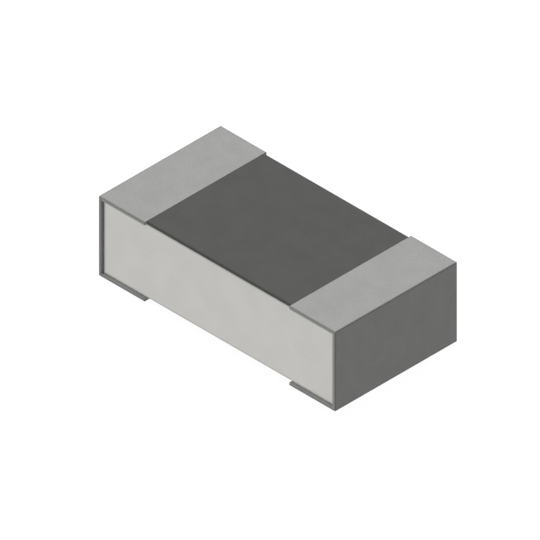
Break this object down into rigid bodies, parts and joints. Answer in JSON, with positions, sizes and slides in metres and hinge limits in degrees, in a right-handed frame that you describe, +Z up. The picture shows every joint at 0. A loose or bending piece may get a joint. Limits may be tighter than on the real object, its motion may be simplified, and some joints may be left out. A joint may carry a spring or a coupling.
{
  "type": "chip resistor",
  "caption": "Surface-mount chip resistor: a pale ceramic block with a dark coat over its resistive film and plated terminals wrapped round its ends.",
  "frame": {"origin": "centre of the chip, the point that a placing machine picks and places it by; the seating plane is half the height below it", "axes": "+X along the chip from one terminal to the other, +Y across it, +Z up from the board through the coated face"},
  "size_m": [0.0016, 0.0008, 0.0004],
  "materials": {
    "alumina": "matte",
    "silver_film": "matte",
    "resistive_film": "satin",
    "glass_coat": "gloss",
    "overcoat": "satin",
    "nickel": "satin",
    "tin": "matte"
  },
  "bodies": {
    "root": {"ceramic_substrate": "alumina", "left_top_electrode": "silver_film", "right_top_electrode": "silver_film", "left_bottom_electrode": "silver_film", "right_bottom_electrode": "silver_film", "left_end_electrode": "silver_film", "right_end_electrode": "silver_film", "resistive_film": "resistive_film", "glass_undercoat": "glass_coat", "protective_overcoat": "overcoat", "left_nickel_barrier": "nickel", "right_nickel_barrier": "nickel", "left_tin_plating": "tin", "right_tin_plating": "tin"}
  },
  "joints": []
}
